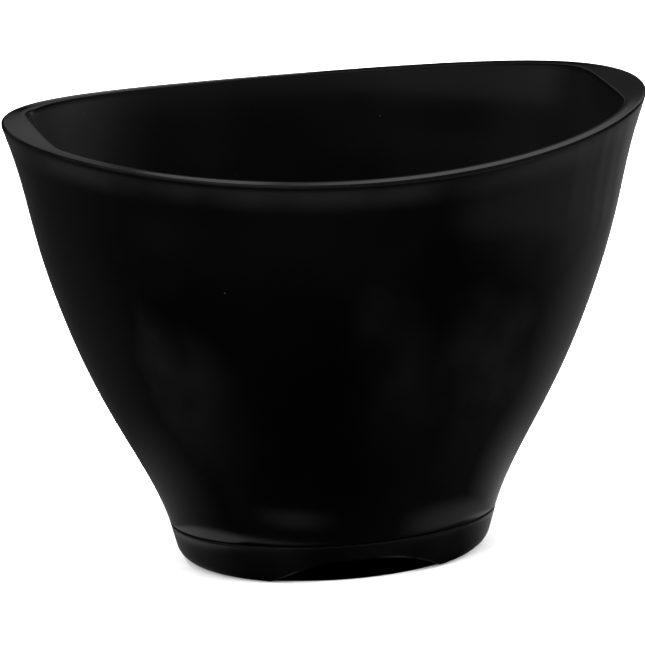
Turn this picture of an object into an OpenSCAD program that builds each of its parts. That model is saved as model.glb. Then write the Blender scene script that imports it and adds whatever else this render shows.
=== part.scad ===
// Oval hair colour bowl: a gloss plastic shell standing on a soft non-slip foot ring.
// Millimetres. +Z is up and +X runs along the bowl. The origin is the centre of the
// plane that the bowl rests on.

/* [Overall size] */
// Length over the lip, along X
bowl_len = 141.4; // [136:0.2:150]
// Width over the lip, as a share of the length
width_share = 0.72; // [0.6:0.01:0.9]
// Height of the lip at the two ends
end_h = 100.6; // [97:0.2:120]
// Height of the lip at the middle of the long sides
side_h = 95.2; // [90:0.2:96]

/* [Outer wall] */
// Length of the shell where it meets the foot ring
foot_len = 72.6; // [70:0.2:76]
// Height at which the wall leans out the most
swell_h = 30; // [27:1:34]
// Length of the shell at that height
swell_len = 92.6; // [88:0.2:98]
// Height at which the wall is steepest again, below the lip
neck_h = 84; // [76:1:86]
// Length of the shell at that height
neck_len = 131.8; // [124:0.2:134]
// Outward lean of the wall at the foot, in mm for each mm of height
foot_lean = 0.3; // [0.1:0.05:0.4]
// Outward lean of the wall where it leans out the most
swell_lean = 0.55; // [0.4:0.05:0.65]
// Outward lean of the wall below the lip
neck_lean = 0.2; // [0.1:0.05:0.3]
// Outward lean of the wall at the lip
lip_lean = 0.32; // [0.1:0.02:0.4]

/* [Shell] */
// Width of the flat top of the lip along the sides
lip_w = 3.8; // [3.2:0.2:5]
// Thickness of the wall
wall_t = 3; // [2.4:0.2:3.6]
// Distance between the straight edges that cross the inside of the two ends of the lip
flats_len = 126.8; // [124:0.2:128]
// Inward slope of the flat faces below those edges, in degrees from upright
flats_draft = 2; // [1:0.5:4]
// Thickness of the floor
floor_t = 4; // [2.5:0.5:6]
// Radius of the inside corner between the floor and the wall
corner_r = 8; // [4:1:10]

/* [Foot] */
// Height of the foot ring
ring_h = 9; // [8.5:0.5:11]
// Outward lean of the side of the ring, in mm for each mm of height
ring_lean = 0.25; // [0:0.05:0.3]
// Radius of the lower outer edge of the ring
ring_edge_r = 3.5; // [1:0.5:3.5]
// Chamfer on the upper outer edge of the ring, which leaves a groove under the shell
groove = 0.6; // [0.3:0.1:1]
// Length of the spigot under the shell that the ring is pushed onto
spigot_len = 64.4; // [62:0.2:65]
// How far the spigot reaches down into the ring
spigot_h = 3; // [2:0.25:3]
// Thickness of the wall of the spigot, which is also the width of the ledge under it
spigot_t = 2.8; // [2:0.2:4]
// Width of the arch in each long side of the ring, along the ground
arch_w = 38; // [20:1:40]
// Height of the arch
arch_h = 5; // [3:0.25:5]

/* [Hidden] */
$fn = 192;
// Free space left all round between the spigot and the ring.
gap = 0.05;
// Height of the stock above the lip and under the ring that the finishing cuts take away.
stock_h = 2;
span_steps = 9;
corner_steps = 6;

end_r = bowl_len / 2;
foot_r = foot_len / 2;
swell_r = swell_len / 2;
neck_r = neck_len / 2;
spigot_r = spigot_len / 2;
ledge_r = spigot_r - spigot_t;
spigot_z = ring_h - spigot_h;
floor_z = ring_h + floor_t;
top_z = end_h + stock_h;
cavity_z = top_z + stock_h;
// The inside is squeezed a little more than the outside, which keeps the wall even.
inner_share = (width_share * end_r - lip_w) / (end_r - lip_w);

// Radius of a circle through the ends of a chord and the top of its rise.
function arc_radius(chord, rise) = (chord^2 / 4 + rise^2) / (2 * rise);

// Points of a smooth span of wall between two stations. A station holds a radius, a
// height and the lean of the wall there. The first point is left out.
function span(low, high) = [
    for (i = [1 : span_steps])
        let (
            t = i / span_steps,
            s = 1 - t,
            h = high[1] - low[1],
            low_pull = low[0] + low[2] * h / 3,
            high_pull = high[0] - high[2] * h / 3
        )
        [
            s^3 * low[0] + 3 * s^2 * t * low_pull + 3 * s * t^2 * high_pull + t^3 * high[0],
            low[1] + t * h
        ]
];

// Points of a round corner that runs from a start, past an apex, to an end.
function corner(start, apex, end) = [
    for (i = [0 : corner_steps])
        let (t = i / corner_steps, s = 1 - t)
        s^2 * start + 2 * s * t * apex + t^2 * end
];

foot_station = [foot_r, ring_h, foot_lean];
swell_station = [swell_r, swell_h, swell_lean];
neck_station = [neck_r, neck_h, neck_lean];
lip_station = [end_r, end_h, lip_lean];

// The outside of the shell, from the foot up to the stock above the lip.
outer_wall = concat(
    [[foot_r, ring_h]],
    span(foot_station, swell_station),
    span(swell_station, neck_station),
    span(neck_station, lip_station),
    [[end_r + lip_lean * stock_h, top_z]]
);

// The inside of the shell: the wall keeps its thickness up to the neck, and then
// thickens up to the lip.
even_wall = [
    for (p = outer_wall)
        if (p[1] > floor_z + corner_r && p[1] <= neck_h)
            p - [wall_t, 0]
];
lip_wall = span(
    [neck_r - wall_t, neck_h, neck_lean],
    [end_r - lip_w, end_h, lip_lean]
);
inner_wall = concat(
    even_wall,
    lip_wall,
    [[end_r - lip_w + lip_lean * (cavity_z - end_h), cavity_z]]
);
inner_low = inner_wall[0];
inner_lean = (inner_wall[1][0] - inner_low[0]) / (inner_wall[1][1] - inner_low[1]);
inner_apex = [inner_low[0] - inner_lean * (inner_low[1] - floor_z), floor_z];
inner_corner = corner([inner_apex[0] - corner_r, floor_z], inner_apex, inner_low);

// A turned solid squeezed across the bowl, so that every level of it is an oval. It is
// made as two mirrored halves that meet on the XZ plane.
module oval_turned(outline, share) {
    for (side = [0, 1])
        mirror([0, side, 0])
            scale([1, share, 1])
                rotate_extrude(angle = 180)
                    polygon(outline);
}

// A round bar across the bowl, its axis at a height.
module cross_bar(r, z) {
    translate([0, 0, z])
        rotate([90, 0, 0])
            cylinder(r = r, h = 2 * bowl_len, center = true);
}

// The space between the flat faces inside the two ends of the lip.
module between_flats() {
    block_z = cavity_z + stock_h;
    low_x = flats_len / 2 - end_h * tan(flats_draft);
    high_x = flats_len / 2 + (block_z - end_h) * tan(flats_draft);
    rotate([90, 0, 0])
        linear_extrude(height = bowl_len, center = true)
            polygon([[-low_x, 0], [low_x, 0], [high_x, block_z], [-high_x, block_z]]);
}

module cavity() {
    intersection() {
        oval_turned(
            concat([[0, cavity_z], [0, floor_z]], inner_corner, inner_wall),
            inner_share
        );
        between_flats();
    }
}

// The bowl itself: wall, floor and lip in one moulding, with a spigot under the floor.
// The lip rises to its ends along a curved cut.
module bowl_shell() {
    lip_cut_r = arc_radius(bowl_len, end_h - side_h);
    spigot_outline = [[ledge_r, spigot_z], [spigot_r, spigot_z], [spigot_r, ring_h]];
    floor_outline = [[0, top_z], [0, ring_h], [ledge_r, ring_h]];
    color([0.03, 0.03, 0.033])
        difference() {
            oval_turned(concat(spigot_outline, outer_wall, floor_outline), width_share);
            cavity();
            cross_bar(lip_cut_r, side_h + lip_cut_r);
        }
}

// The soft ring that the bowl stands on. It is pushed over the spigot up to the shell,
// has a ledge under the spigot, and has an arch in each long side. Its underside is cut
// flat.
module foot_ring() {
    arch_r = arc_radius(arch_w, arch_h);
    ring_top = ring_h - gap;
    side_r = foot_r - ring_lean * (ring_h - ring_edge_r);
    color([0.05, 0.05, 0.052])
        difference() {
            oval_turned(concat(
                [[ledge_r, -stock_h], [side_r - ring_edge_r, -stock_h]],
                corner([side_r - ring_edge_r, 0], [side_r, 0], [side_r, ring_edge_r]),
                [
                    [foot_r - ring_lean * groove, ring_top - groove],
                    [foot_r - groove, ring_top],
                    [spigot_r + gap, ring_top],
                    [spigot_r + gap, spigot_z - gap],
                    [ledge_r, spigot_z - gap]
                ]
            ), width_share);
            cross_bar(arch_r, arch_h - arch_r);
            translate([-foot_r, -foot_r, -2 * stock_h])
                cube([foot_len, foot_len, 2 * stock_h]);
        }
}

bowl_shell();
foot_ring();
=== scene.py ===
"""Hair colour bowl: a gloss black shell on a soft foot ring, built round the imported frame.

Every length is in metres in the frame's own axes: +X along the bowl, +Z up, and the
origin in the middle of the plane that the bowl rests on.
"""

import math

import bpy
import numpy as np
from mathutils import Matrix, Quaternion, Vector
from mathutils.bvhtree import BVHTree


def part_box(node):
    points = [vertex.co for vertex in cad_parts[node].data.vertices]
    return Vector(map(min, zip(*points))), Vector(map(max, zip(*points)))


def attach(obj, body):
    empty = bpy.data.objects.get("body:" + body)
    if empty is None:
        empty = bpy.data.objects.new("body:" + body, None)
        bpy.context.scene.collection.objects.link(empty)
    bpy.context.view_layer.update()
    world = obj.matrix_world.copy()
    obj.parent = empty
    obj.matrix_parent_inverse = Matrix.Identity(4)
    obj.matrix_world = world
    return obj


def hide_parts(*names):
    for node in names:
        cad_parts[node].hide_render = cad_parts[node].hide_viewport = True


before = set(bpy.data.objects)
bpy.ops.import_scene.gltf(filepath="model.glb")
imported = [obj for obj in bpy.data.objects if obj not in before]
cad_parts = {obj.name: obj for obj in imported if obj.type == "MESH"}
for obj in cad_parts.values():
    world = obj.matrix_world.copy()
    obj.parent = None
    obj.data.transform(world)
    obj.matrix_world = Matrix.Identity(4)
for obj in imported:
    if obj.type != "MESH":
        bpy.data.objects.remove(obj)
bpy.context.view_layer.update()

MM = 0.001

# ---------------------------------------------------------------- measures from the frame

# Rays start this far out. A sliver is a length too short to see.
FAR = 1.0
SLIVER = 0.01 * MM
# Share of the height at which the wall is found under the lowest part of the lip.
NEAR_LIP = 0.9
# Shares of the height between which the wall thickens to the lip.
THICKENING = (0.8, 0.97)
# The curve through the outer wall: at how many heights it is measured, and its degree.
WALL_SAMPLES = 90
WALL_DEGREE = 9


def points_of(piece):
    """The vertices of an object as an array of points."""
    return np.array([v.co for v in piece.data.vertices])


def solid(node):
    """A tree of a CAD node's faces that rays can be cast at."""
    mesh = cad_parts[node].data
    corners = [v.co.copy() for v in mesh.vertices]
    return BVHTree.FromPolygons(corners, [tuple(p.vertices) for p in mesh.polygons])


SHELL = solid("bowl_shell")
RING = solid("foot_ring")


def probe(tree, start, direction):
    """The first point of a solid that a ray meets."""
    point = tree.ray_cast(Vector(start), Vector(direction))[0]
    if point is None:
        raise ValueError(f"no surface lies along {direction} from {start}")
    return point


def outside_x(tree, z):
    return probe(tree, (FAR, 0, z), (-1, 0, 0)).x


def outside_y(tree, z):
    return probe(tree, (0, FAR, z), (0, -1, 0)).y


def inside_x(tree, z):
    return probe(tree, (0, 0, z), (1, 0, 0)).x


def inside_y(tree, z):
    return probe(tree, (0, 0, z), (0, 1, 0)).y


def arc_radius(chord, rise):
    """Radius of the circle through the ends of a chord and the top of its rise."""
    return (chord**2 / 4 + rise**2) / (2 * rise)


shell_low, shell_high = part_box("bowl_shell")
ring_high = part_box("foot_ring")[1]

END_R = shell_high.x
END_H = shell_high.z
SIDE_H = probe(SHELL, (0, outside_y(SHELL, NEAR_LIP * END_H) - MM, FAR), (0, 0, -1)).z
MID_H = END_H / 2
LIP_CUT_R = arc_radius(2 * END_R, END_H - SIDE_H)
OUT_SHARE = outside_y(SHELL, MID_H) / outside_x(SHELL, MID_H)
WALL_T = outside_x(SHELL, MID_H) - inside_x(SHELL, MID_H)
JUST_BELOW = SIDE_H - 0.1 * MM
LIP_W = outside_y(SHELL, JUST_BELOW) - inside_y(SHELL, JUST_BELOW)
LIP_SIDE_W = 1.05 * LIP_W
LIP_END_W = 0.95 * LIP_W
FLAT_HIGH_Z = END_H - 2 * MM
FLAT_LOW_Z = END_H - 8 * MM
FLAT_HIGH_X = inside_x(SHELL, FLAT_HIGH_Z)
FLAT_SLOPE = (FLAT_HIGH_X - inside_x(SHELL, FLAT_LOW_Z)) / (FLAT_HIGH_Z - FLAT_LOW_Z)
FLOOR_Z = probe(SHELL, (0, 0, MID_H), (0, 0, -1)).z
UNDER_Z = probe(SHELL, (0, 0, -FAR), (0, 0, 1)).z
SPIGOT_Z = shell_low.z
SPIGOT_R = outside_x(SHELL, SPIGOT_Z + MM)
LEDGE_R = inside_x(SHELL, SPIGOT_Z + MM)

RING_TOP = ring_high.z
RING_SIDE_R = ring_high.x
RING_SHARE = ring_high.y / ring_high.x
RING_BORE = inside_x(RING, RING_TOP - MM)
RING_LEDGE_R = inside_x(RING, MM)
RING_LEDGE_Z = probe(RING, ((RING_LEDGE_R + RING_BORE) / 2, 0, RING_TOP), (0, 0, -1)).z
ring_points = points_of(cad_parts["foot_ring"])
ARCH_HALF = np.abs(ring_points[ring_points[:, 2] < SLIVER][:, 0]).min()
ARCH_H = probe(RING, (0, RING_SHARE * (RING_SIDE_R + RING_LEDGE_R) / 2, -FAR), (0, 0, 1)).z
ARCH_TURN = math.asin(ARCH_HALF / RING_SIDE_R)

wall_heights = np.linspace(UNDER_Z + 2 * SLIVER, END_H - 2 * SLIVER, WALL_SAMPLES)
wall_radii = [outside_x(SHELL, z) for z in wall_heights]
outer_radius = np.polynomial.Polynomial.fit(wall_heights, wall_radii, WALL_DEGREE)


def smooth_step(low, high, value):
    t = np.clip((value - low) / (high - low), 0, 1)
    return t * t * (3 - 2 * t)


def inner_radii(z):
    """The cavity's half sizes along X and Y: the wall is even, and thickens to the lip."""
    near_lip = smooth_step(THICKENING[0] * END_H, THICKENING[1] * END_H, z)
    end_t = WALL_T + (LIP_END_W - WALL_T) * near_lip
    side_t = WALL_T + (LIP_SIDE_W - WALL_T) * near_lip
    return outer_radius(z) - end_t, OUT_SHARE * outer_radius(z) - side_t


def flat_x(z):
    """Where the flat face inside each end of the lip stands."""
    return FLAT_HIGH_X - FLAT_SLOPE * (FLAT_HIGH_Z - z)


def lip_height(x):
    return SIDE_H + LIP_CUT_R - np.sqrt(LIP_CUT_R**2 - np.square(x))


# ---------------------------------------------------------------- mesh helpers


def put_in_scene(name, data):
    made = bpy.data.objects.new(name, data)
    bpy.context.scene.collection.objects.link(made)
    return made


def rows_between(start, end, steps):
    """Rows spaced evenly between two rows, leaving both of them out."""
    return [start + (end - start) * i / steps for i in range(1, steps)]


def bend(start, apex, end, share):
    """The point at a share of the curve from start to end that bends towards an apex."""
    return (1 - share) ** 2 * start + 2 * share * (1 - share) * apex + share**2 * end


def corner(start, apex, end, steps=8):
    """Rows that turn a round corner from start, past apex, to end."""
    return [bend(start, apex, end, share) for share in np.linspace(0, 1, steps + 1)]


def direction(start, end):
    """Unit vectors from the points of one row to those of another."""
    return (end - start) / np.linalg.norm(end - start, axis=1, keepdims=True)


def skin(name, rows, low_pole=None, high_pole=None):
    """A mesh of quads over rows of points. Each row closes on itself.

    With poles, the first and last rows close in on them. Without, the last row joins the
    first.
    """
    points = np.stack(rows)
    row_count, columns = points.shape[:2]
    vertices = points.reshape(-1, 3).tolist()
    last = row_count - 1 if low_pole is not None else row_count
    faces = []
    for row in range(last):
        here = row * columns
        above = (row + 1) % row_count * columns
        for column in range(columns):
            after = (column + 1) % columns
            faces.append((here + column, here + after, above + after, above + column))
    if low_pole is not None:
        low = len(vertices)
        vertices += [tuple(low_pole), tuple(high_pole)]
        top = (row_count - 1) * columns
        for column in range(columns):
            after = (column + 1) % columns
            faces.append((low, after, column))
            faces.append((low + 1, top + column, top + after))
    mesh = bpy.data.meshes.new(name)
    mesh.from_pydata(vertices, [], faces)
    mesh.shade_smooth()
    piece = put_in_scene(name, mesh)
    normals = piece.modifiers.new("even normals", "WEIGHTED_NORMAL")
    normals.weight = 50
    normals.keep_sharp = True
    return piece


def add_mask(piece, name, values):
    """Gives each vertex a value from 0 to 1 that the material reads by its name."""
    mask = piece.data.attributes.new(name, "FLOAT", "POINT")
    mask.data.foreach_set("value", values.astype(np.float32))


def finish_piece(piece, node, material):
    piece.data.materials.append(material)
    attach(piece, "root")
    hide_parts(node)


# ---------------------------------------------------------------- shell

COLUMNS = 320
TURN = np.linspace(0, 2 * math.pi, COLUMNS, endpoint=False)
WALL_ROWS = 100
INSIDE_ROWS = 80
FLOOR_ROWS = 14
UNDER_ROWS = 10
# Passes after which a wall's row has settled on the curved lip.
LIP_PASSES = 8
LIP_EDGE = 0.8 * MM
LIP_INNER_EDGE = 0.35 * MM
LIP_FALL = 0.22 * MM
LIP_LEVEL_W = 1.1 * MM
LIP_CREST = 0.35 * MM
FLAT_BLEND = 1.7 * MM
SHOULDER_EDGE = 0.35 * MM
SPIGOT_EDGE = 0.3 * MM
UNDER_FILLET = 0.9 * MM
FLOOR_CORNER = 8 * MM
GATE_R = 1.5 * MM
GATE_H = 0.5 * MM
DISH_R = 6 * MM
DISH_H = 0.7 * MM
# Rows from the gate's rim to the flat underside: a share of the gate's or the dish's
# radius, and how deep in the dish the row lies, as a share of the dish.
GATE_ROWS = ((1.05, 0.98), (1.3, 1.0))
DISH_ROWS = ((0.6, 0.96), (0.8, 0.7), (0.95, 0.2), (1.0, 0.05), (1.1, 0.0))
# The shell's masks: depths below the lip over which they fade, and depths in the wall.
UNDER_LIP_END = (7 * MM, 2 * MM)
UNDER_LIP_START = (0.6 * MM, 1.8 * MM)
INSIDE_START = (0.2 * MM, 0.9 * MM)
WORN_H = 1.2 * MM
WORN_DEPTH = 1 * MM
OUTSIDE_DEPTH = 0.3 * MM
INSIDE_DEPTH = 1.2 * MM
INSIDE_MARGIN = 0.5 * MM


def oval(half_x, half_y, z):
    """A row of points round an oval. Its half sizes and height may differ by column."""
    x = half_x * np.cos(TURN)
    y = half_y * np.sin(TURN)
    return np.stack([x, y, np.broadcast_to(z, x.shape)], axis=1)


def outer_row(z):
    return oval(outer_radius(z), OUT_SHARE * outer_radius(z), z)


def inner_row(z):
    """A row round the cavity, cut off by the flat face inside each end of the lip."""
    row = oval(*inner_radii(z), z)
    excess = np.abs(row[:, 0]) - flat_x(z)
    over = (excess + np.sqrt(excess**2 + FLAT_BLEND**2)) / 2
    row[:, 0] -= np.sign(row[:, 0]) * over
    return row


def meet_lip(row_at, raised=0):
    """A wall's row of points where it meets the curved cut that shapes the lip."""
    row = row_at(np.full(COLUMNS, END_H))
    for _ in range(LIP_PASSES):
        row = row_at(lip_height(row[:, 0]) + raised)
    return row


def underside_rows():
    """The hollow under the floor, with the stub of the moulding gate in a round dish."""
    dish_z = UNDER_Z + DISH_H
    sizes = [(0.85 * GATE_R, dish_z - GATE_H), (GATE_R, dish_z - 0.8 * GATE_H)]
    sizes += [(share * GATE_R, UNDER_Z + depth * DISH_H) for share, depth in GATE_ROWS]
    sizes += [(share * DISH_R, UNDER_Z + depth * DISH_H) for share, depth in DISH_ROWS]
    rows = [oval(radius, radius, z) for radius, z in sizes]
    flat_r = LEDGE_R - UNDER_FILLET
    for radius in np.linspace(1.3 * DISH_R, flat_r, UNDER_ROWS):
        share = 1 + (OUT_SHARE - 1) * smooth_step(DISH_R, 0.9 * flat_r, radius)
        rows.append(oval(radius, share * radius, UNDER_Z))
    return rows


def spigot_rows():
    """Down the inside of the spigot, across its end, up its outside and out to the wall."""
    def at(radius, z):
        return oval(radius, OUT_SHARE * radius, z)

    rows = corner(at(LEDGE_R - UNDER_FILLET, UNDER_Z), at(LEDGE_R, UNDER_Z),
                  at(LEDGE_R, UNDER_Z - UNDER_FILLET))[1:]
    rows += corner(at(LEDGE_R, SPIGOT_Z + SPIGOT_EDGE), at(LEDGE_R, SPIGOT_Z),
                   at(LEDGE_R + SPIGOT_EDGE, SPIGOT_Z), 4)
    rows += corner(at(SPIGOT_R - SPIGOT_EDGE, SPIGOT_Z), at(SPIGOT_R, SPIGOT_Z),
                   at(SPIGOT_R, SPIGOT_Z + SPIGOT_EDGE), 4)
    rows += [at(SPIGOT_R, UNDER_Z - SPIGOT_EDGE), at(SPIGOT_R, UNDER_Z),
             at(SPIGOT_R + SPIGOT_EDGE, UNDER_Z)]
    return rows


def outside_rows():
    """From the shoulder above the ring, up the outer wall and over the lip's outer edge."""
    foot_r = outer_radius(UNDER_Z)
    low = UNDER_Z + SHOULDER_EDGE
    rows = corner(oval(foot_r - SHOULDER_EDGE, OUT_SHARE * foot_r - SHOULDER_EDGE, UNDER_Z),
                  outer_row(np.full(COLUMNS, UNDER_Z)), outer_row(np.full(COLUMNS, low)), 5)
    high = OUTER_TOP[:, 2] - LIP_EDGE
    for share in np.linspace(0, 1, WALL_ROWS)[1:-1]:
        rows.append(outer_row(low + share * (high - low)))
    rows += corner(outer_row(high), OUTER_TOP, LIP_OUT, 10)
    return rows


def cavity_rows():
    """Down the inner wall from the lip, round the floor's corner and in to the middle."""
    high = INNER_TOP[:, 2] - LIP_INNER_EDGE
    low = FLOOR_Z + FLOOR_CORNER
    rows = corner(LIP_IN, INNER_TOP, inner_row(high), 6)
    for share in np.linspace(0, 1, INSIDE_ROWS)[1:]:
        rows.append(inner_row(high + share * (low - high)))
    low_row = rows[-1]
    apex = low_row + (low_row - rows[-2]) * FLOOR_CORNER / (rows[-2] - low_row)[0, 2]
    floor_edge = apex * (1 - FLOOR_CORNER / np.abs(apex[0, 0]))
    floor_edge[:, 2] = FLOOR_Z
    rows += corner(low_row, apex, floor_edge, FLOOR_ROWS)[1:]
    for share in np.linspace(1, 0, FLOOR_ROWS)[1:-1]:
        rows.append(floor_edge * [share, share, 1])
    return rows


# The rows that bound the lip: where each wall would meet it, its crest, and where its
# roundings end.
OUTER_TOP = meet_lip(outer_row)
INNER_TOP = meet_lip(inner_row, LIP_FALL)
CREST = INNER_TOP + LIP_LEVEL_W * direction(INNER_TOP, OUTER_TOP)
CREST[:, 2] = lip_height(CREST[:, 0]) + LIP_FALL
LIP_OUT = OUTER_TOP + LIP_EDGE * direction(OUTER_TOP, CREST)
LIP_IN = INNER_TOP - LIP_INNER_EDGE * direction(CREST, INNER_TOP)


def shell_rows():
    """All rows of the shell, from the middle of the underside to that of the floor."""
    rows = underside_rows() + spigot_rows() + outside_rows()
    rows += rows_between(LIP_OUT, CREST, 4)
    rows += corner(CREST - LIP_CREST * direction(OUTER_TOP, CREST), CREST,
                   CREST + LIP_CREST * direction(CREST, INNER_TOP), 4)
    return rows + cavity_rows()


def mark_shell(piece):
    """Masks for the shell's material: a band on the outer wall just below the lip, its
    inside, where light is painted, and its worn edges.
    """
    x, y, z = points_of(piece).T
    below_lip = lip_height(x) - z
    depth = outer_radius(np.clip(z, UNDER_Z, END_H)) - np.hypot(x, y / OUT_SHARE)
    outside = depth < OUTSIDE_DEPTH
    inside = (z > FLOOR_Z - INSIDE_MARGIN) & (depth > INSIDE_DEPTH)
    add_mask(piece, "under_lip_band", outside * smooth_step(*UNDER_LIP_END, below_lip)
             * smooth_step(*UNDER_LIP_START, below_lip))
    add_mask(piece, "inside", inside * smooth_step(*INSIDE_START, below_lip))
    add_mask(piece, "edge", smooth_step(WORN_H, 0, np.abs(below_lip))
             * smooth_step(WORN_DEPTH, 0, depth))


# ---------------------------------------------------------------- foot ring

ARCH_COLUMNS = 72
SIDE_COLUMNS = 96
SIDE_ROWS = 22
RING_EDGE = 0.3 * MM
ARCH_EDGE = 0.5 * MM
TOP_EDGE = 0.6 * MM
LEDGE_CORNER = 0.05 * MM
# How far the ring's side leans in, per unit of height.
RING_LEAN = 0.28
# The rounding of the lower edge, in the middle of the sides and at the ends.
EDGE_SIDE_W = 1.7 * MM
EDGE_SIDE_H = 3.2 * MM
EDGE_END_W = 4.8 * MM
EDGE_END_H = 3.7 * MM
# The arches follow this power: 2 is a parabola, and more is flatter on top.
ARCH_POWER = 2.6
# Heights above an arch between which the highlight painted on its edge fades.
ARCH_HIGHLIGHT_H = (0.7 * MM, 0.1 * MM)


def ring_columns():
    """Angles of the ring's columns from the Y axis, with one column at each arch's end."""
    front = np.linspace(-ARCH_TURN, ARCH_TURN, ARCH_COLUMNS, endpoint=False)
    side = np.linspace(ARCH_TURN, math.pi - ARCH_TURN, SIDE_COLUMNS, endpoint=False)
    half = np.concatenate([front, side])
    return np.concatenate([half, half + math.pi])


RING_TURN = ring_columns()
RING_X = RING_SIDE_R * np.sin(RING_TURN)


def ring_row(radius, z):
    """A row of points round the ring. Where an arch is, a column keeps its x."""
    radius = np.broadcast_to(radius, RING_TURN.shape)
    moved_arch = np.arcsin(np.clip(ARCH_HALF / radius, -1, 1))
    from_y = np.arcsin(np.sin(RING_TURN))
    in_arch = np.abs(RING_X) <= ARCH_HALF + 1e-9
    kept_x = np.arcsin(np.clip(RING_X / radius, -1, 1))
    fade = (math.pi / 2 - np.abs(from_y)) / (math.pi / 2 - ARCH_TURN)
    shifted = from_y + np.sign(from_y) * (moved_arch - ARCH_TURN) * fade
    turn = np.where(in_arch, kept_x, shifted)
    x = radius * np.sin(turn)
    y = -RING_SHARE * radius * np.cos(turn) * np.sign(np.cos(RING_TURN))
    return np.stack([x, y, np.broadcast_to(z, x.shape)], axis=1)


def arch_height(x):
    """Height of the arches' surface above the ground."""
    across = np.minimum(np.abs(x) / ARCH_HALF, 1)
    return ARCH_H * (1 - across**ARCH_POWER)


def ring_rows():
    """Rows round the ring's section: up its outside, over the top and down inside."""
    low = arch_height(RING_X)
    towards_end = np.sin(RING_TURN) ** 2
    edge_h = EDGE_SIDE_H + (EDGE_END_H - EDGE_SIDE_H) * towards_end
    edge_w = EDGE_SIDE_W + (EDGE_END_W - EDGE_SIDE_W) * towards_end
    side_top = RING_TOP - TOP_EDGE
    side_top_r = outside_x(RING, side_top - SLIVER)
    edge_top_r = side_top_r - RING_LEAN * (side_top - edge_h)
    ground_r = edge_top_r - RING_LEAN * edge_h - edge_w

    def side_point(progress):
        """Round the lower edge for progress up to 1, then up the side from 1 to 2."""
        turned = np.clip(progress, 0, 1)
        up = np.clip(progress - 1, 0, 1)
        radius = (bend(ground_r, ground_r + edge_w, edge_top_r, turned)
                  + up * (side_top_r - edge_top_r))
        z = edge_h * turned**2 + up * (side_top - edge_h)
        return radius, z

    start = np.where(low < edge_h, np.sqrt(low / edge_h),
                     1 + (low - edge_h) / (side_top - edge_h))
    above_edge = start + ARCH_EDGE / edge_h
    apex_r, apex_z = side_point(start)
    rows = corner(ring_row(apex_r - ARCH_EDGE, low), ring_row(apex_r, apex_z),
                  ring_row(*side_point(above_edge)), 6)
    for share in np.linspace(0, 1, SIDE_ROWS)[1:]:
        rows.append(ring_row(*side_point(above_edge + share * (2 - above_edge))))
    rows += corner(rows[-1], ring_row(side_top_r + RING_LEAN * TOP_EDGE, RING_TOP),
                   ring_row(side_top_r - TOP_EDGE, RING_TOP), 6)[1:]
    rows += corner(ring_row(RING_BORE + RING_EDGE, RING_TOP), ring_row(RING_BORE, RING_TOP),
                   ring_row(RING_BORE, RING_TOP - RING_EDGE), 3)
    rows.append(ring_row(RING_BORE, RING_LEDGE_Z + LEDGE_CORNER))
    rows.append(ring_row(RING_BORE - LEDGE_CORNER, RING_LEDGE_Z))
    rows += corner(ring_row(RING_LEDGE_R + RING_EDGE, RING_LEDGE_Z),
                   ring_row(RING_LEDGE_R, RING_LEDGE_Z),
                   ring_row(RING_LEDGE_R, RING_LEDGE_Z - RING_EDGE), 3)
    inner_low = corner(ring_row(RING_LEDGE_R, low + RING_EDGE), ring_row(RING_LEDGE_R, low),
                       ring_row(RING_LEDGE_R + RING_EDGE, low), 3)
    rows += rows_between(rows[-1], inner_low[0], 4)
    rows += inner_low
    rows += rows_between(inner_low[-1], rows[0], 6)
    return rows


def mark_ring(piece):
    """A mask for the ring's material: the edge of its arches, where a highlight is painted.
    """
    x, y, z = points_of(piece).T
    outside = smooth_step(RING_BORE, RING_BORE + MM, np.hypot(x, y / RING_SHARE))
    add_mask(piece, "edge", smooth_step(*ARCH_HIGHLIGHT_H, z - arch_height(x)) * outside)


# ---------------------------------------------------------------- materials

GLOSS_DARK = (0.0008, 0.0008, 0.0009, 1)
GLOSS_LIGHT = (0.002, 0.002, 0.0022, 1)
GLOSS_IOR = 1.5
UNDER_LIP_GREY = (0.012, 0.012, 0.0125, 1)
INSIDE_LIGHT_GREY = (0.011, 0.011, 0.0115, 1)
WORN_GREY = (0.003, 0.003, 0.0032, 1)
DUST_GREY = (0.035, 0.035, 0.036, 1)
# Where along x the painted light on the inner wall fades, and how strong it is there.
INSIDE_LIGHT_LEFT = (-0.062, -0.025, 1.0, 0.0)
INSIDE_LIGHT_RIGHT = (0.04, 0.066, 0.0, 0.3)
# Scuffs are noise drawn out along one way: its feature size, detail, stretch and turn, and
# the noise values between which a scuff shows.
UP_SCUFFS = (0.5 * MM, 2, (1, 1, 0.03), (0.3, 0.2, 0))
UP_SCUFFS_SHOW = (0.66, 0.74)
SLANT_SCUFFS = (0.6 * MM, 2, (1, 1, 0.04), (0.9, -0.8, 0))
SLANT_SCUFFS_SHOW = (0.68, 0.76)
# Specks: the spacing of their cells, their radius and the share of cells that have one.
DUST = (11 * MM, 0.3 * MM, 0.12)
FINE_DUST = (5 * MM, 0.13 * MM, 0.1)
LINT = (5 * MM, 0.16 * MM, 0.2)

RING_DARK = (0.0015, 0.0015, 0.0016, 1)
RING_LIGHT = (0.0035, 0.0035, 0.0038, 1)
RING_IOR = 1.48
ARCH_HIGHLIGHT_GREY = (0.05, 0.05, 0.052, 1)
LINT_GREY = (0.05, 0.05, 0.05, 1)
# Where along x the painted highlight on the arches' edge shows: at both of their ends.
ARCH_HIGHLIGHT_LEFT = (-0.0155, -0.012, 1.0, 0.0)
ARCH_HIGHLIGHT_RIGHT = (0.002, 0.009)


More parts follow.
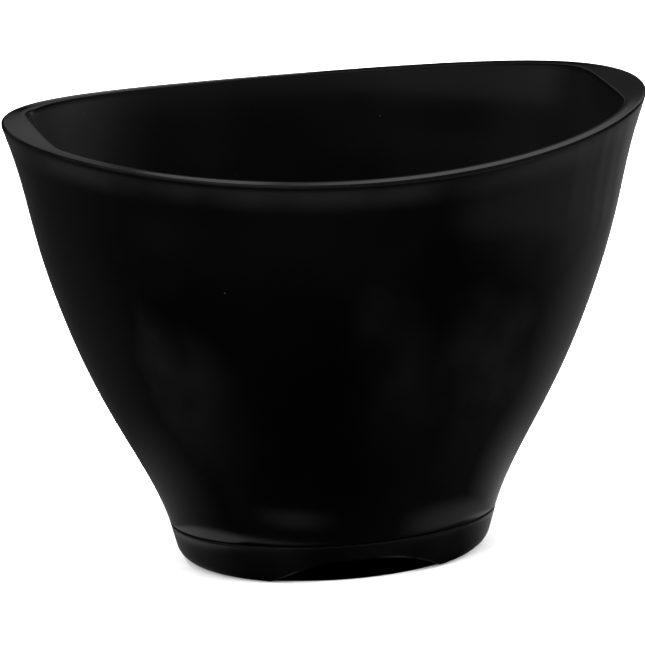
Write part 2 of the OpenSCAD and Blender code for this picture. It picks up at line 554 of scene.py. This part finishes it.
class Nodes:
    """A node tree: add() makes a node and fills its inputs with values or sockets."""

    def __init__(self, tree, coordinates):
        self.tree = tree
        self.place = self.add("ShaderNodeTexCoord").outputs[coordinates]
        self.x, self.y, self.z = self.add("ShaderNodeSeparateXYZ", {0: self.place}).outputs

    def add(self, kind, inputs=None, **settings):
        made = self.tree.nodes.new(kind)
        for name, value in settings.items():
            setattr(made, name, value)
        self.fill(made, inputs or {})
        return made

    def fill(self, made, inputs):
        for name, value in inputs.items():
            if isinstance(value, bpy.types.NodeSocket):
                self.tree.links.new(value, made.inputs[name])
            else:
                made.inputs[name].default_value = value

    def remap(self, value, low, high, to_low=0.0, to_high=1.0):
        """A smooth change from to_low to to_high while the value goes from low to high."""
        made = self.add("ShaderNodeMapRange",
                        {"Value": value, "From Min": low, "From Max": high,
                         "To Min": to_low, "To Max": to_high},
                        interpolation_type="SMOOTHSTEP")
        return made.outputs["Result"]

    def maths(self, operation, first, *others):
        """One operation over all the values, from the first to the last."""
        for other in others:
            made = self.add("ShaderNodeMath", {0: first, 1: other}, operation=operation)
            first = made.outputs["Value"]
        return first

    def distance(self, value, middle):
        """How far a value is from a middle, on either side of it."""
        return self.maths("ABSOLUTE", self.maths("SUBTRACT", value, middle), 0)

    def vector(self, operation, a, b):
        made = self.add("ShaderNodeVectorMath", {0: a, 1: b}, operation=operation)
        return made.outputs["Vector"]

    def length(self, value):
        made = self.add("ShaderNodeVectorMath", {0: value}, operation="LENGTH")
        return made.outputs["Value"]

    def seen_by_camera(self):
        return self.add("ShaderNodeLightPath").outputs["Is Camera Ray"]


class Recipe(Nodes):
    """A material, whose coordinates are those of the frame."""

    def __init__(self, name):
        self.material = bpy.data.materials.new(name)
        self.material.use_nodes = True
        self.shader = self.material.node_tree.nodes["Principled BSDF"]
        super().__init__(self.material.node_tree, "Object")

    def mask(self, name):
        return self.add("ShaderNodeAttribute", attribute_name=name).outputs["Fac"]

    def noise(self, feature, detail=2.0, stretch=(1, 1, 1), turn=(0, 0, 0)):
        """Noise from 0 to 1 whose blotches are about one feature long."""
        moved = self.add("ShaderNodeMapping",
                         {"Vector": self.place, "Scale": stretch, "Rotation": turn})
        made = self.add("ShaderNodeTexNoise", {"Vector": moved.outputs["Vector"],
                                               "Scale": 1 / feature, "Detail": detail})
        return made.outputs["Fac"]

    def patches(self, feature, detail, *fade):
        """Noise remapped to stronger patches."""
        return self.remap(self.noise(feature, detail), *fade)

    def mix(self, share, a, b):
        """A colour between two colours."""
        made = self.add("ShaderNodeMix", {"Factor": share, 6: a, 7: b}, data_type="RGBA")
        return made.outputs[2]

    def painted(self, colour, *layers):
        """A colour under layers of other colours, each with its mask."""
        for mask, over in layers:
            colour = self.mix(mask, colour, over)
        return colour

    def raised(self, value, *layers):
        """A value that layers add to, each a mask and what it adds where it is full."""
        for mask, added in layers:
            value = self.maths("ADD", value, self.maths("MULTIPLY", mask, added))
        return value

    def specks(self, spacing, size, share):
        """Round specks, one at most per cell, left in only a share of the cells."""
        cells = self.add("ShaderNodeTexVoronoi", {"Vector": self.place, "Scale": 1 / spacing})
        dot = self.remap(cells.outputs["Distance"], 0.5 * size / spacing, size / spacing,
                         1.0, 0.0)
        lot = self.add("ShaderNodeSeparateColor", {"Color": cells.outputs["Color"]})
        return self.maths("MULTIPLY", dot, self.maths("LESS_THAN", lot.outputs[0], share))

    def bumps(self, *layers):
        """A normal with bump layers on top of each other, each a height and its depth."""
        normal = None
        for height, depth in layers:
            inputs = {"Height": height, "Distance": depth, "Strength": 1.0}
            if normal is not None:
                inputs["Normal"] = normal
            normal = self.add("ShaderNodeBump", inputs).outputs["Normal"]
        return normal

    def glow(self, tone):
        return self.add("ShaderNodeEmission", {"Strength": tone}).outputs[0]

    def either(self, share, a, b):
        """A shader between two shaders."""
        return self.add("ShaderNodeMixShader", {0: share, 1: a, 2: b}).outputs[0]

    def show(self, shader):
        """Makes a shader the material's surface, in place of the principled one."""
        self.fill(self.tree.nodes["Material Output"], {"Surface": shader})


def gloss_plastic():
    """Polished black moulding: faint mottling and sink waves, painted light inside, a lighter
    band under the lip, hairline scuffs and dust.
    """
    r = Recipe("gloss black plastic")
    # A lighter band, in patches, on the outer wall from just below the lip to about 7 mm
    # down.
    under_lip_band = r.maths("MULTIPLY", r.mask("under_lip_band"), r.patches(20 * MM, 4, 0.3, 0.6, 0.35, 1.0))
    inside = r.mask("inside")
    # Painted light: the inner wall is lighter in patches, strongly towards its left end and
    # faintly towards its right.
    painted_inside_light = r.maths("MULTIPLY", inside, r.patches(30 * MM, 4, 0.25, 0.75, 0.5, 1.0),
                   r.maths("ADD", r.remap(r.x, *INSIDE_LIGHT_LEFT), r.remap(r.x, *INSIDE_LIGHT_RIGHT)))
    worn = r.maths("MULTIPLY", r.mask("edge"), r.patches(4 * MM, 4, 0.4, 0.75))
    dust = r.maths("ADD", r.specks(*DUST), r.specks(*FINE_DUST))
    mottled = r.mix(r.patches(45 * MM, 3, 0.3, 0.7), GLOSS_DARK, GLOSS_LIGHT)
    colour = r.painted(mottled, (under_lip_band, UNDER_LIP_GREY), (painted_inside_light, INSIDE_LIGHT_GREY), (worn, WORN_GREY),
                       (dust, DUST_GREY))
    scuffs = r.maths("ADD", r.remap(r.noise(*UP_SCUFFS), *UP_SCUFFS_SHOW),
                     r.remap(r.noise(*SLANT_SCUFFS), *SLANT_SCUFFS_SHOW))
    scuffs = r.maths("MULTIPLY", scuffs, r.patches(30 * MM, 2, 0.45, 0.65))
    haze = r.patches(22 * MM, 4, 0.3, 0.75, 0.05, 0.1)
    rough = r.raised(haze, (scuffs, 0.1), (worn, 0.1), (inside, 0.12), (dust, 0.4))
    normal = r.bumps((r.noise(60 * MM, 1), 0.1 * MM), (r.noise(16 * MM, 2), 0.012 * MM),
                     (r.noise(0.9 * MM, 2), 0.0006 * MM), (scuffs, -0.0008 * MM),
                     (dust, 0.01 * MM))
    r.fill(r.shader, {"Base Color": colour, "Roughness": rough, "Normal": normal,
                      "IOR": GLOSS_IOR})
    return r.material


def satin_ring():
    """Soft black elastomer: fine matt grain, a smooth bloom, a painted highlight on the
    arches' edges, and lint.
    """
    r = Recipe("satin black elastomer")
    bloom = r.patches(14 * MM, 3, 0.3, 0.7)
    # Painted highlight: a light line along the arches' edge, near both ends of each arch.
    at_ends = r.maths("MAXIMUM", r.remap(r.x, *ARCH_HIGHLIGHT_LEFT), r.remap(r.x, *ARCH_HIGHLIGHT_RIGHT))
    painted_arch_highlight = r.maths("MULTIPLY", r.mask("edge"), r.patches(7 * MM, 3, 0.35, 0.65, 0.1, 1.0),
                     at_ends)
    lint = r.specks(*LINT)
    colour = r.painted(r.mix(bloom, RING_DARK, RING_LIGHT), (painted_arch_highlight, ARCH_HIGHLIGHT_GREY),
                       (lint, LINT_GREY))
    grain = r.noise(0.35 * MM, 3)
    rough = r.raised(r.remap(grain, 0.3, 0.7, 0.14, 0.22), (bloom, 0.06), (lint, 0.3))
    normal = r.bumps((r.noise(18 * MM, 1), 0.05 * MM), (grain, 0.0025 * MM),
                     (lint, 0.01 * MM))
    r.fill(r.shader, {"Base Color": colour, "Roughness": rough, "Normal": normal,
                      "IOR": RING_IOR})
    return r.material


# ---------------------------------------------------------------- pieces

gate_end = (0, 0, UNDER_Z + DISH_H - GATE_H)
shell_piece = skin("shell_skin", shell_rows(), gate_end, (0, 0, FLOOR_Z))
mark_shell(shell_piece)
finish_piece(shell_piece, "bowl_shell", gloss_plastic())
ring_piece = skin("ring_skin", ring_rows())
mark_ring(ring_piece)
finish_piece(ring_piece, "foot_ring", satin_ring())

# ---------------------------------------------------------------- floor, lights and camera

AZIMUTH = math.radians(-14.53)
ELEVATION = math.radians(16.05)
ROLL = math.radians(1.15)
DISTANCE = 1.521
LOOK_H = 0.0488
LENS = 391
SHIFT = (-0.0114, 0.0182)
CLIP_START = 0.01
CLIP_END = 20

FLOOR_HALF = 4
FLOOR_DARK = (0.84, 0.84, 0.84, 1)
FLOOR_LIGHT = (0.88, 0.88, 0.88, 1)
FLOOR_ROUGH = 0.9
PAINTED_SHADOW_BLACK = (0, 0, 0, 1)
# Shares of the foot's contact oval between which a black shadow is painted on the floor under
# it.
PAINTED_SHADOW_EDGE = (0.98, 1.0, 1.0, 0.0)
# The pale backdrop that the camera sees, and the distances over which the floor joins it.
BACKDROP_TONE = 1.0
FLOOR_END = (0.6, 1.1)

# The tones below are what the gloss surfaces mirror. A fade is a start, an end, and the
# tones at both, which are 0 and 1 where they are left out.
# Pools of light that the walls mirror: where each is on the floor, its size and its tone.
POOLS = (
    ((-0.085, -0.035), (0.065, 0.045), 0.11),
    ((-0.055, -0.03), (0.03, 0.02), 0.06),
    ((0.09, -0.05), (0.09, 0.07), 0.085),
    ((0.03, -0.09), (0.035, 0.09), 0.05),
    ((0.04, 0.14), (0.05, 0.1), 0.16),
    ((-0.035, 0.1), (0.04, 0.07), 0.12),
)
FAR_FRONT_Y = (-0.12, -0.18, 0.0, 0.015)
FAR_LEFT_X = (-0.09, -0.17, 0.0, 0.028)
POOL_PATCHES = (30 * MM, 3, 0.3, 0.7, 0.6, 1.25)
# How far noise pushes the pools' edges about far from the middle, its waves and detail.
DRIFT = (0.05, 0.1, 0.0, 0.05)
DRIFT_SIZE = 0.06
DRIFT_DETAIL = 3.0
# The right side: everywhere, more of it close to the foot, and only where it is towards
# the back.
SIDE_X = (-0.01, 0.03, 0.055, 0.15)
SIDE_NEAR_X = (-0.01, 0.03, 0.1, 0.2)
SIDE_NEAR_REACH = (1.0, 1.8, 1.0, 0.0)
SIDE_TOWARDS_BACK = (-0.55, 0.2)
FAR_RIGHT_X = (0.1, 0.24, 0.02, 0.2)
FAR_RIGHT_START_X = (0.08, 0.12)
FAR_RIGHT_PATCHES = (50 * MM, 3, 0.3, 0.7, 0.8, 1.15)
FRONT_RIGHT_AWAY = (0.165, 0.195, 0.0, 0.15)
FRONT_RIGHT_X = (0.08, 0.13)
BACK_RIGHT_Y = (0.05, 0.17)
BACK_RIGHT_X = (0.06, 0.14, 0.0, 0.2)
# The line of light close round the foot, as shares of its half sizes.
GLOW_SIZE = (0.0463, 0.0366)
GLOW_MIDDLE_X = 0.003
GLOW_PAST_RING = (0.97, 0.99)
GLOW_PAST_RING_X = (0.034, 0.046, 0.0, 0.07)
GLOW_REACH = (0.98, 1.008, 1.0, 0.0)
GLOW_X = (0.006, 0.045, 0.0, 0.58)
GLOW_TOWARDS_BACK = (-0.1, 0.4, 1.0, 0.4)
RIGHT_GLOW_X = (0.012, 0.03, 0.0, 0.24)
RIGHT_GLOW_REACH = (1.01, 1.11, 1.0, 0.0)
RIGHT_GLOW_PAST_RING = (0.95, 1.0)
# A patch just outside the line of light: its middle, and how it fades from there.
PATCH_REACH = 1.075
PATCH_REACH_FADE = (0.0, 0.05, 0.14, 0.0)
PATCH_X = -0.02
PATCH_X_FADE = (0.0, 0.018, 1.0, 0.0)
# Keeps a point on the Y axis from being infinitely far towards the back.
SIDEWAYS_MIN = 0.01

# The card that the lip mirrors: its place and corners, its tone along x and up z, and
# patches on its left, each with how it starts and ends along x and how it fades up z.
CARD_Y = 0.5
CARD_LOW = (-0.3, 0.11)
CARD_HIGH = (0.6, 0.43)
CARD_X = (0.13, 0.16, 0.12, 0.43)
CARD_Z = (0.265, 0.36, 0.1, 1.0)
CARD_START_Z = (0.19, 0.25)
CARD_PATCHES = (
    ((0.09, 0.11), (0.128, 0.139, 0.35, 0.0), (0.25, 0.29)),
    ((0.03, 0.07), (0.086, 0.105, 0.16, 0.0), (0.165, 0.2)),
    ((0.03, 0.07), (0.118, 0.124, 0.28, 0.0), (0.15, 0.16, 1.0, 0.0)),
)

# The world's glow, by the direction it is looked at in: low in front, and overhead.
LOW_GLOW_X = (-0.6, 0.55, 0.2, 0.055)
LOW_GLOW_Y = (-0.2, 0.3, 1.0, 0.06)
LOW_GLOW_Z = (0.3, 0.55, 1.0, 0.06)
ZENITH_X = (0.18, 0.05)
ZENITH_Z = (0.85, 0.93, 0.0, 0.35)

# Soft lights, which light the dull surfaces only: name, place, side and power in watts.
LIGHTS = (
    ("overhead", (0, 0.1, 1.4), 1.6, 80),
    ("left fill", (-1.1, -0.6, 0.7), 1.0, 30),
    ("right fill", (1.1, -0.6, 0.7), 1.0, 30),
)


def panel(name, corners):
    """A flat object with four corners."""
    mesh = bpy.data.meshes.new(name)
    mesh.from_pydata(corners, [], [(0, 1, 2, 3)])
    return put_in_scene(name, mesh)


def oval_reach(r, place, half_x, half_y):
    """How far out a place is, as a share of an oval's half sizes."""
    return r.length(r.vector("MULTIPLY", place, (1 / half_x, 1 / half_y, 0)))


def drifted_place(r, away):
    """Places on the floor, pushed about by noise so that the pools' edges are uneven."""
    noise = r.add("ShaderNodeTexNoise", {"Vector": r.place, "Scale": 1 / DRIFT_SIZE,
                                         "Detail": DRIFT_DETAIL})
    push = r.vector("SUBTRACT", noise.outputs["Color"], (0.5, 0.5, 0.5))
    push = r.add("ShaderNodeVectorMath", {0: push, "Scale": r.remap(away, *DRIFT)},
                 operation="SCALE")
    return r.vector("ADD", r.place, push.outputs["Vector"])


def pool_tone(r, away):
    """The soft pools of light, and the far floor in front and on the left."""
    place = drifted_place(r, away)
    tones = [r.remap(r.y, *FAR_FRONT_Y), r.remap(r.x, *FAR_LEFT_X)]
    for centre, size, tone in POOLS:
        moved = r.vector("SUBTRACT", place, (*centre, 0))
        tones.append(r.remap(oval_reach(r, moved, *size), 0.0, 1.0, tone, 0.0))
    return r.maths("MULTIPLY", r.maths("MAXIMUM", *tones), r.patches(*POOL_PATCHES))


def side_tone(r, away, reach, towards_back):
    """The floor on the right, which the wall mirrors from its middle to its right end."""
    side = r.maths("ADD", r.remap(r.x, *SIDE_X),
                   r.maths("MULTIPLY", r.remap(r.x, *SIDE_NEAR_X),
                           r.remap(reach, *SIDE_NEAR_REACH)))
    side = r.maths("MULTIPLY", side, r.remap(towards_back, *SIDE_TOWARDS_BACK))
    far_right = r.maths("MULTIPLY", r.remap(r.x, *FAR_RIGHT_X),
                        r.patches(*FAR_RIGHT_PATCHES), r.remap(r.x, *FAR_RIGHT_START_X))
    front_right = r.maths("MULTIPLY", r.remap(away, *FRONT_RIGHT_AWAY),
                          r.remap(r.x, *FRONT_RIGHT_X))
    back_right = r.maths("MULTIPLY", r.remap(r.y, *BACK_RIGHT_Y),
                         r.remap(r.x, *BACK_RIGHT_X))
    return r.maths("MAXIMUM", side, far_right, front_right, back_right)


def foot_tone(r, reach, towards_back):
    """The line of light that the wall mirrors just above the foot, and a patch by it."""
    from_middle = r.distance(r.x, GLOW_MIDDLE_X)
    past_ring = r.maths("ADD", reach, r.remap(from_middle, *GLOW_PAST_RING_X))
    line = r.maths("MULTIPLY", r.remap(past_ring, *GLOW_PAST_RING),
                   r.remap(reach, *GLOW_REACH), r.remap(from_middle, *GLOW_X),
                   r.remap(towards_back, *GLOW_TOWARDS_BACK))
    right_line = r.maths("MULTIPLY", r.remap(r.x, *RIGHT_GLOW_X),
                         r.remap(reach, *RIGHT_GLOW_REACH),
                         r.remap(past_ring, *RIGHT_GLOW_PAST_RING))
    patch = r.maths("MULTIPLY", r.remap(r.distance(reach, PATCH_REACH), *PATCH_REACH_FADE),
                    r.remap(r.distance(r.x, PATCH_X), *PATCH_X_FADE))
    return r.maths("MAXIMUM", line, right_line, patch)


def mirrored_tone(r):
    """How bright the floor looks to the gloss surfaces that mirror it."""
    away = r.length(r.place)
    reach = oval_reach(r, r.place, *GLOW_SIZE)
    sideways = r.maths("ADD", r.distance(r.x, 0), SIDEWAYS_MIN)
    towards_back = r.maths("DIVIDE", r.y, sideways)
    return r.maths("MAXIMUM", pool_tone(r, away), side_tone(r, away, reach, towards_back),
                   foot_tone(r, reach, towards_back))


def floor():
    """A pale floor, with a black shadow painted in the space under the foot, and clear from
    below.

    The gloss surfaces see it darker than the camera does, as a black object on a bright
    table shows mostly what is dark round it. Far off it turns into the backdrop.
    """
    plane = panel("floor", [(-FLOOR_HALF, -FLOOR_HALF, 0), (FLOOR_HALF, -FLOOR_HALF, 0),
                            (FLOOR_HALF, FLOOR_HALF, 0), (-FLOOR_HALF, FLOOR_HALF, 0)])
    r = Recipe("pale floor")
    pale = r.mix(r.patches(3 * MM, 2, 0.3, 0.7), FLOOR_DARK, FLOOR_LIGHT)
    foot = points_of(ring_piece)
    foot = foot[foot[:, 2] < SLIVER]
    foot_r = np.hypot(foot[:, 0], foot[:, 1] / RING_SHARE).max()
    # Painted shadow: the floor inside the foot's contact oval is black.
    painted_shadow = r.remap(oval_reach(r, r.place, foot_r, foot_r * RING_SHARE), *PAINTED_SHADOW_EDGE)
    r.fill(r.shader, {"Base Color": r.mix(painted_shadow, pale, PAINTED_SHADOW_BLACK),
                      "Roughness": FLOOR_ROUGH, "Specular IOR Level": 0.0})
    to_camera = r.either(r.remap(r.length(r.place), *FLOOR_END), r.shader.outputs[0],
                         r.glow(BACKDROP_TONE))
    from_above = r.either(r.seen_by_camera(), r.glow(mirrored_tone(r)), to_camera)
    below = r.add("ShaderNodeNewGeometry").outputs["Backfacing"]
    clear = r.add("ShaderNodeBsdfTransparent").outputs[0]
    r.show(r.either(below, from_above, clear))
    plane.data.materials.append(r.material)


def lip_card():
    """A glowing card behind the bowl, out of the camera's sight, that the lip mirrors."""
    (left, low), (right, high) = CARD_LOW, CARD_HIGH
    card = panel("lip card", [(left, CARD_Y, low), (right, CARD_Y, low),
                              (right, CARD_Y, high), (left, CARD_Y, high)])
    r = Recipe("lip card")
    tones = [r.maths("MULTIPLY", r.remap(r.x, *CARD_X), r.remap(r.z, *CARD_Z),
                     r.remap(r.z, *CARD_START_Z))]
    for start, end, up in CARD_PATCHES:
        tones.append(r.maths("MULTIPLY", r.remap(r.x, *start), r.remap(r.x, *end),
                             r.remap(r.z, *up)))
    r.show(r.glow(r.maths("MAXIMUM", *tones)))
    card.data.materials.append(r.material)
    card.visible_camera = False
    card.visible_diffuse = False
    card.visible_shadow = False


def studio_walls():
    """A pale backdrop, which gloss surfaces see as dark with a low glow in front."""
    world = bpy.data.worlds.new("studio")
    world.use_nodes = True
    w = Nodes(world.node_tree, "Generated")
    low_glow = w.maths("MULTIPLY", w.remap(w.x, *LOW_GLOW_X), w.remap(w.y, *LOW_GLOW_Y),
                       w.remap(w.z, *LOW_GLOW_Z))
    overhead = w.maths("MULTIPLY", w.remap(w.z, *ZENITH_Z), w.remap(w.x, *ZENITH_X))
    tone = w.add("ShaderNodeMix", {"Factor": w.seen_by_camera(),
                                   "A": w.maths("ADD", low_glow, overhead),
                                   "B": BACKDROP_TONE})
    w.fill(w.tree.nodes["Background"],
           {"Color": (1, 1, 1, 1), "Strength": tone.outputs["Result"]})
    bpy.context.scene.world = world


def soft_light(name, place, side, power):
    """A square light aimed at the origin."""
    data = bpy.data.lights.new(name, "AREA")
    data.size = side
    data.energy = power
    light = put_in_scene(name, data)
    light.location = place
    light.rotation_euler = (-Vector(place)).to_track_quat("-Z", "Y").to_euler()
    light.visible_glossy = False
    light.visible_camera = False


def camera():
    target = Vector((0, 0, LOOK_H))
    back = Vector((math.sin(AZIMUTH) * math.cos(ELEVATION),
                   -math.cos(AZIMUTH) * math.cos(ELEVATION), math.sin(ELEVATION)))
    data = bpy.data.cameras.new("camera")
    data.lens = LENS
    data.shift_x, data.shift_y = SHIFT
    data.clip_start = CLIP_START
    data.clip_end = CLIP_END
    eye = put_in_scene("camera", data)
    eye.location = target + DISTANCE * back
    eye.rotation_mode = "QUATERNION"
    look = (-back).to_track_quat("-Z", "Y")
    eye.rotation_quaternion = look @ Quaternion((0, 0, 1), -ROLL)
    bpy.context.scene.camera = eye


floor()
lip_card()
studio_walls()
for light_settings in LIGHTS:
    soft_light(*light_settings)
camera()
bpy.context.scene.view_settings.view_transform = "Standard"
